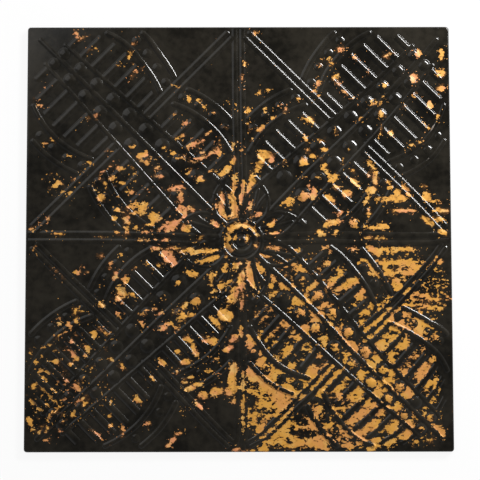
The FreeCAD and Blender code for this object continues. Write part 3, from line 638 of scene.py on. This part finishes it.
def arm_side():
    """Every form on one side of an arm, with the arm along the real axis."""
    forms = fan(-1) + fan(1) + rungs()
    for s in (diamond_reach - diamond_offset, diamond_reach + diamond_offset):
        path = [complex(s, rail_offset(s) + diamond_rail_gap), complex(s, diamond_end)]
        forms.append(Rib(path, diamond_half_width, diamond_height))
    curl = quarter_ellipse(complex(rail_start, rail_start_offset), rail_root)[::-1]
    forms.append(Rib([*curl, complex(rail_end, rail_end_offset)], rail_half_width, rail_height))
    leaf_edge = quarter_ellipse(complex(leaf_start), complex(leaf_end, rail_offset(leaf_end)))
    leaf_paths = [leaf_edge] + [bowed(*points) for points in leaf_veins]
    forms += [Rib(path, leaf_half_width, leaf_height, leaf_grip) for path in leaf_paths]
    for i in range(boss_count):
        s = boss_first + i * boss_pitch
        radius = boss_first_radius + (boss_last_radius - boss_first_radius) * i / (boss_count - 1)
        forms.append(Dome(complex(s, rail_offset(s) / 2), radius, boss_height, boss_sides))
    return forms


def relief_forms():
    """Every raised form of the tile."""
    forms = [Dome(0j, button_radius, button_height, button_sides)]
    circle = np.exp(2j * pi * np.arange(ring_chords + 1) / ring_chords)
    forms += [Rib(radius * circle, half_width, height) for radius, half_width, height in rosette_rings]
    side = arm_side()
    spine = Rib([complex(spine_start), complex(spine_end)], spine_half_width, spine_height)
    cross_paths = [[complex(spine_start, y), complex(half_side - cross_edge_gap, y)]
                   for y in (-cross_offset, cross_offset)]
    cross = [Rib(path, cross_half_width, cross_height) for path in cross_paths]
    for quarter in range(4):
        forms += [form.moved(turned(90 * quarter)) for form in cross]
        diagonal = turned(90 * quarter + 45)
        forms.append(spine.moved(diagonal))
        forms += [form.moved(diagonal, mirrored) for form in side for mirrored in (False, True)]
    return forms


def relief_height(forms, places):
    """Height of the relief above the flat sheet, where forms that meet run smoothly into each other."""
    total = np.zeros(places.shape)
    for form in forms:
        middle, reach = form.reach()
        near = abs(places - middle) < reach
        total[near] += form.rise(places[near]) ** union_power
    return total ** (1 / union_power)


def relief_slope(forms, places):
    """Slope of the relief along X, and along Y as the other part."""
    along_x = relief_height(forms, places + slope_step) - relief_height(forms, places - slope_step)
    along_y = relief_height(forms, places + 1j * slope_step) - relief_height(forms, places - 1j * slope_step)
    return (along_x + 1j * along_y) / (2 * slope_step)


def paint_hold(forms, places):
    """How well the crests and rims of the forms hold their paint, from 0 in the flats to a form's grip."""
    most = np.zeros(places.shape)
    for form in forms:
        middle, reach = form.reach()
        near = abs(places - middle) < hold_reach * reach
        most[near] = np.maximum(most[near], form.hold(places[near]))
    return most


def rim():
    """Closed loop round the tile: places inside the corners' arcs, and the outward direction at each."""
    core = half_side - corner_radius
    cores = []
    outward = []
    along = np.linspace(-core, core, round(2 * core / rim_step) + 1)
    for quarter in range(4):
        turn = turned(90 * quarter)
        cores += [complex(core, y) * turn for y in along]
        outward += [turn] * len(along)
        cores += [complex(core, core) * turn] * (corner_steps - 1)
        outward += [turn * turned(90 / corner_steps * step) for step in range(1, corner_steps)]
    return np.array(cores), np.array(outward)


def flat_grid(step, edge, taken_places):
    """Even grid of places over the sheet, with none near the edge loop or the places already taken."""
    cell = step / 2
    taken = set()
    for point in np.concatenate([edge, taken_places]):
        column, row = round(point.real / cell), round(point.imag / cell)
        taken.update((column + i, row + j) for i in (-1, 0, 1) for j in (-1, 0, 1))
    axis = np.arange(-mesh_limit, mesh_limit, step)
    grid = (axis[:, None] + 1j * axis[None, :]).ravel()
    return np.array([p for p in grid if (round(p.real / cell), round(p.imag / cell)) not in taken])


def inside(places):
    """Those of the places that lie inside the edge loop."""
    return places[np.maximum(abs(places.real), abs(places.imag)) < mesh_limit]


def front_sheet(forms, edge):
    """Places and triangles of the front: the forms' own places, and a fine grid where the sheet is flat."""
    own = inside(np.concatenate([form.samples() for form in forms]))
    keys = np.round(own.real / least_gap) + 1j * np.round(own.imag / least_gap)
    own = own[np.sort(np.unique(keys, return_index=True)[1])]
    return triangulated(np.concatenate([edge, own, flat_grid(front_flat_step, edge, own)]), [], len(edge))


def back_sheet(forms, edge):
    """Places and triangles of the back, which is coarse, with mesh edges along the rows of each form."""
    places = list(edge)
    lines = []
    for form in forms:
        is_rib = isinstance(form, Rib)
        fineness = (back_rib_step, back_rib_rows) if is_rib else (back_dome_turn, back_dome_rows)
        for row in form.rows(*fineness):
            row = inside(row)
            lines += [(len(places) + i, len(places) + i + 1) for i in range(len(row) - 1)]
            places += list(row)
    places += list(flat_grid(back_flat_step, edge, np.array(places)))
    return triangulated(places, lines, len(edge))


def kept_below(forms, places, triangles, heights):
    """Heights of a coarse sheet, lowered until none of its triangles rises through the relief above it."""
    corners = np.array(triangles)
    steps = range(back_checks + 1)
    shares = np.array([(i, j, back_checks - i - j) for i in steps for j in steps if i + j <= back_checks])
    shares = shares / back_checks
    within = places[corners] @ shares.T
    ceiling = relief_height(forms, within.ravel()).reshape(within.shape) + back_clearance
    for _ in range(back_rounds):
        excess = np.maximum(heights[corners] @ shares.T - ceiling, 0).max(axis=1)
        drop = np.zeros(len(heights))
        np.maximum.at(drop, corners, excess[:, None])
        heights = np.maximum(heights - drop, 0)
    return heights


def nearness(places, others, spread):
    """How near each place is to each of the others, from 1 at the same place to 0 far off."""
    return np.exp(-0.5 * (abs(places[:, None] - others[None, :]) / spread) ** 2)


def settled(places):
    """Where a place of the even pattern lies on the real, slightly drawn sheet."""
    seen, drawn = np.array(drifts).T
    pulls = np.linalg.solve(nearness(seen, seen, drift_spread), drawn)
    nudged, shifts = np.array(nudges).T
    drawn = nearness(places, seen, drift_spread) @ pulls + nearness(places, nudged, nudge_spread) @ shifts
    inset = half_side - edge_radius - np.maximum(abs(places.real), abs(places.imag))
    return places + drawn * (1 - swell(inset / drift_margin))


def triangulated(places, lines, size):
    """Places and triangles over them, with edges along the lines, in the loop of the first size places."""
    flat = [Vector((p.real, p.imag)) for p in places]
    inside_loop = 1
    points, _, triangles, *_ = geometry.delaunay_2d_cdt(
        flat, lines, [list(range(size))], inside_loop, weld_gap, True)
    return np.array([complex(*point) for point in points]), triangles


def lip_profile():
    """Loops down the outside of the lip and up its inside: offset, height, and 1 where it is painted."""
    profile = []
    for thickness, front in ((0.0, 1.0), (sheet_thickness, 0.0)):
        radius = edge_radius - thickness
        bends = [pi / 2 * step / fold_steps for step in range(1, fold_steps + 1)]
        side = [(radius * sin(bend), lip_depth - edge_radius + radius * cos(bend), front) for bend in bends]
        side.append((radius, 0.0, front))
        profile += side if front else reversed(side)
    return profile


def tile_mesh():
    """Closed mesh of the sheet: front, lip, cut edge and back, with the values that its paint needs."""
    forms = relief_forms()
    cores, outward = rim()
    edge = cores + outward * (corner_radius - edge_radius)
    size = len(edge)
    sheet_loops = []
    vertices = []
    faces = []
    holds = []
    fronts = []
    normals = {}
    for facing, (places, triangles) in ((1, front_sheet(forms, edge)), (-1, back_sheet(forms, edge))):
        assert abs(places[:size] - edge).max() < least_gap
        heights = relief_height(forms, places)
        if facing < 0:
            heights = kept_below(forms, places, triangles, heights) - sheet_thickness
        start = len(vertices)
        sheet_loops.append([start + i for i in range(size)])
        faces += [tuple(start + v for v in triangle)[::facing] for triangle in triangles]
        vertices += [(p.real, p.imag, z) for p, z in zip(settled(places), lip_depth + heights)]
        for i, slope in enumerate(relief_slope(forms, places)):
            normals[start + i] = Vector((-slope.real, -slope.imag, 1)).normalized() * facing
        holds += list(paint_hold(forms, places))
        fronts += [1.0 if facing > 0 else 0.0] * len(places)

    loops = [sheet_loops[0]]
    for offset, z, front in lip_profile():
        loops.append([len(vertices) + i for i in range(size)])
        vertices += [(p.real, p.imag, z) for p in edge + outward * offset]
        holds += [0.0] * size
        fronts += [front] * size
    loops.append(sheet_loops[1])
    for upper, lower in zip(loops, loops[1:]):
        faces += [(upper[i - 1], lower[i - 1], lower[i], upper[i]) for i in range(size)]

    mesh = bpy.data.meshes.new("pressed_tile")
    mesh.from_pydata([(x * MM, y * MM, z * MM) for x, y, z in vertices], [], faces)
    mesh.update()
    mesh.shade_smooth()
    mesh.normals_split_custom_set_from_vertices([normals.get(v.index, v.normal) for v in mesh.vertices])
    places = np.array([complex(x, y) for x, y, _ in vertices])
    wear = paint_loss(places, np.array(holds))
    for name, values in (("front", fronts), ("wear", wear), ("aged", worn_quarter(places))):
        mesh.attributes.new(name, "FLOAT", "POINT").data.foreach_set("value", values)
    return mesh


def face_place(x, y):
    """Place on the tile's face that a pixel of the photograph shows."""
    scale = camera_sensor / camera_lens / photo_pixels
    ray = Vector(((x - photo_pixels / 2) * scale, (photo_pixels / 2 - y) * scale, -1))
    ray.rotate(Euler(camera_turn))
    start = Vector(camera_place)
    hit = start + ray * ((lip_depth * MM - start.z) / ray.z)
    return complex(hit.x, hit.y) / MM


def patch_depth(places, patches):
    """How far inside any of the patches each place is, in the photograph's pixels, or below 0 outside."""
    depth = np.full(places.shape, -patch_reach)
    pixel = abs(face_place(photo_pixels / 2, 0) - face_place(photo_pixels / 2, photo_pixels)) / photo_pixels
    for x, y, half_length, half_width, *turn in patches:
        middle = face_place(x + flake_shift[0], y + flake_shift[1])
        offset = (places - middle) / turned(*turn) / pixel
        near = abs(offset) < patch_reach + max(half_length, half_width)
        along, across = offset[near].real / half_length, offset[near].imag / half_width
        share = np.hypot(along, across) + least_share
        steepness = np.hypot(along / half_length, across / half_width) + least_share
        depth[near] = np.maximum(depth[near], (1 - share) * share / steepness)
    return depth


def worn_quarter(places):
    """Share of the heavier wear, which is 1 in the lower right quarter of the tile."""
    return (1 - swell(places.real / quarter_fade)) * (1 - swell(-places.imag / quarter_fade))


def paint_loss(places, holds):
    """How deep each place lies inside the flaked paint, in pixels, and below 0 where it holds."""
    depth = np.minimum(patch_depth(places, flakes), -patch_depth(places, kept_paint))
    sparse = np.minimum(patch_depth(places, speckled), 0) + speckled_depth
    depth = np.maximum(depth, sparse)
    worn = worn_quarter(places)
    eased = flake_ease + worn * flake_ease_worn
    depth = np.minimum(depth, patch_deepest)
    return np.maximum(depth + eased - holds * (hold_depth + worn * hold_depth_worn), -patch_reach)


def node(tree, kind, inputs=(), **settings):
    """New node with its settings, and its inputs linked or set."""
    made = tree.nodes.new(kind)
    for name, value in settings.items():
        setattr(made, name, value)
    for name, value in dict(inputs).items():
        if isinstance(value, bpy.types.NodeSocket):
            tree.links.new(value, made.inputs[name])
        else:
            made.inputs[name].default_value = value
    return made


def calc(tree, operation, first, second=0.0, third=0.0):
    """Output of a calculation on sockets or numbers."""
    return node(tree, "ShaderNodeMath", {0: first, 1: second, 2: third}, operation=operation).outputs[0]


def noise(tree, coords, scale, detail, roughness=0.5):
    """Noise value over the given coordinates."""
    inputs = {"Vector": coords, "Scale": scale, "Detail": detail, "Roughness": roughness}
    return node(tree, "ShaderNodeTexNoise", inputs).outputs["Fac"]


def ramp(tree, value, low, high, start=0.0, end=1.0):
    """Smooth step from start to end as the value goes from low to high."""
    inputs = {"Value": value, "From Min": low, "From Max": high, "To Min": start, "To Max": end}
    return node(tree, "ShaderNodeMapRange", inputs, interpolation_type="SMOOTHSTEP").outputs[0]


def blend(tree, share, first, second):
    """Colour between two, by share."""
    return node(tree, "ShaderNodeMix", {0: share, 6: first, 7: second}, data_type="RGBA").outputs[2]


def layer(tree, coords, spread, start=0.0, end=1.0, roughness=0.5):
    """Share, from start to end, of a layer that is spread by a noise."""
    scale, detail, low, high = spread
    return ramp(tree, noise(tree, coords, scale, detail, roughness), low, high, start, end)


def attribute(tree, name):
    """Value that the mesh holds at each vertex."""
    return node(tree, "ShaderNodeAttribute", attribute_name=name).outputs["Fac"]


def flaking(tree, coords, aged):
    """Depth inside a flake with its ragged edges, and the share of gold that is bared."""
    stretched = node(tree, "ShaderNodeMapping", {"Vector": coords, "Scale": ragged_stretch}).outputs[0]
    ragged = 0.0
    for scale, detail, swing in ragged_layers:
        centred = calc(tree, "SUBTRACT", noise(tree, stretched, scale, detail), ragged_middle)
        ragged = calc(tree, "MULTIPLY_ADD", centred, swing, ragged)
    raggedness = calc(tree, "MULTIPLY_ADD", aged, ragged_more_aged, ragged_least)
    wear = attribute(tree, "wear")
    level = calc(tree, "MULTIPLY_ADD", ragged, raggedness, wear)

    scale, detail, low, high = speck_spread
    specks = calc(tree, "MULTIPLY_ADD", wear, speck_nearness, noise(tree, coords, scale, detail))
    islands = layer(tree, stretched, island_spread, 1.0, 0.0)
    flaked = calc(tree, "MULTIPLY", ramp(tree, level, *bare_range), islands)
    return level, calc(tree, "MAXIMUM", flaked, ramp(tree, specks, low, high))


def gold_coat(tree, coords, aged, level):
    """Colour of the older coat, darker along the edges of a flake."""
    gold = gold_base
    for tint, *spread, share in gold_tints:
        gold = blend(tree, layer(tree, coords, spread, end=share), gold, tint)
    gold = blend(tree, calc(tree, "MULTIPLY", aged, aged_share), gold, gold_aged)
    return blend(tree, ramp(tree, level, *edge_range, edge_share, 0.0), gold, gold_edge)


def black_coat(tree, coords, level):
    """Colour of the newer coat, stained brown round the flakes."""
    fine = noise(tree, coords, *mottle_fine)
    mottle = calc(tree, "MULTIPLY_ADD", fine, mottle_fine_share, noise(tree, coords, *mottle_coarse))
    black = blend(tree, ramp(tree, mottle, *mottle_range), black_deep, black_dull)
    stain = calc(tree, "MULTIPLY", ramp(tree, level, *stain_range), layer(tree, coords, stain_spread))
    return blend(tree, stain, black, stain_brown)


def worn_paint():
    """Glossy black paint, flaked off an older coat of gold, over a bare and rusty back."""
    material = bpy.data.materials.new("worn_paint")
    material.use_nodes = True
    tree = material.node_tree
    shader = tree.nodes["Principled BSDF"]
    coords = node(tree, "ShaderNodeTexCoord").outputs["Object"]

    aged = attribute(tree, "aged")
    level, bare = flaking(tree, coords, aged)
    paint = blend(tree, bare, black_coat(tree, coords, level), gold_coat(tree, coords, aged, level))
    tin = blend(tree, layer(tree, coords, rust_spread, roughness=rust_roughness), tin_grey, tin_rust)
    tree.links.new(blend(tree, attribute(tree, "front"), tin, paint), shader.inputs["Base Color"])

    gloss = layer(tree, coords, gloss_spread, *black_roughness)
    tree.links.new(calc(tree, "MULTIPLY_ADD", bare, bare_roughness, gloss), shader.inputs["Roughness"])
    shader.inputs["Specular IOR Level"].default_value = specular_level

    dents = {"Strength": dent_strength, "Distance": dent_depth, "Height": noise(tree, coords, *dent_noise)}
    dented = node(tree, "ShaderNodeBump", dents).outputs["Normal"]
    sunk = calc(tree, "MULTIPLY", bare, -1.0)
    coats = {"Strength": coat_strength, "Distance": coat_depth, "Height": sunk, "Normal": dented}
    tree.links.new(node(tree, "ShaderNodeBump", coats).outputs["Normal"], shader.inputs["Normal"])
    return material


def linked(name, data):
    """New object in the scene."""
    made = bpy.data.objects.new(name, data)
    bpy.context.scene.collection.objects.link(made)
    return made


def add_floor():
    """Wide pale floor: white to the camera and in reflections, with the tile's shadow on it."""
    mesh = bpy.data.meshes.new("floor")
    corners = [(x * floor_reach, y * floor_reach, 0) for x, y in ((-1, -1), (1, -1), (1, 1), (-1, 1))]
    mesh.from_pydata(corners, [], [(0, 1, 2, 3)])
    floor = linked("floor", mesh)
    material = bpy.data.materials.new("floor")
    material.use_nodes = True
    tree = material.node_tree
    shader = tree.nodes["Principled BSDF"]
    shader.inputs["Base Color"].default_value = floor_colour
    shader.inputs["Roughness"].default_value = floor_roughness
    rays = node(tree, "ShaderNodeLightPath").outputs
    seen = calc(tree, "MAXIMUM", rays["Is Camera Ray"], rays["Is Glossy Ray"])
    seen = calc(tree, "MAXIMUM", seen, rays["Is Transmission Ray"])
    glow = node(tree, "ShaderNodeEmission", {"Color": white, "Strength": 1.0})
    mixed = node(tree, "ShaderNodeMixShader", {0: calc(tree, "MULTIPLY", seen, floor_white_share)})
    tree.links.new(shader.outputs[0], mixed.inputs[1])
    tree.links.new(glow.outputs[0], mixed.inputs[2])
    tree.links.new(mixed.outputs[0], tree.nodes["Material Output"].inputs["Surface"])
    mesh.materials.append(material)


def add_light():
    """Studio with pale walls, a dim ceiling, a narrow lamp at the upper right and a wide one at the left."""
    world = bpy.data.worlds.new("studio")
    bpy.context.scene.world = world
    world.use_nodes = True
    tree = world.node_tree
    direction = node(tree, "ShaderNodeTexCoord").outputs["Generated"]
    height = node(tree, "ShaderNodeSeparateXYZ", {"Vector": direction}).outputs["Z"]
    strength = ramp(tree, height, wall_top, ceiling_start, wall_light, ceiling_light)
    background = tree.nodes["Background"]
    tree.links.new(strength, background.inputs["Strength"])
    background.inputs["Color"].default_value = white

    for name, place, width, depth, energy in studio_lamps:
        lamp = bpy.data.lights.new(name, "AREA")
        lamp.shape = "RECTANGLE"
        lamp.size = width
        lamp.size_y = depth
        lamp.energy = energy
        stand = linked(name, lamp)
        stand.location = place
        stand.rotation_euler = (-stand.location).to_track_quat("-Z", "Y").to_euler()
        stand.visible_camera = False


def add_camera():
    """Camera at the photograph's place."""
    data = bpy.data.cameras.new("camera")
    data.lens = camera_lens
    data.sensor_width = camera_sensor
    camera = linked("camera", data)
    camera.location = camera_place
    camera.rotation_euler = camera_turn
    bpy.context.scene.camera = camera


tile = linked("pressed_tile", tile_mesh())
tile.data.materials.append(worn_paint())
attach(tile, "root")
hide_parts("pressed_sheet")
add_floor()
add_light()
add_camera()
bpy.context.scene.view_settings.view_transform = "Standard"
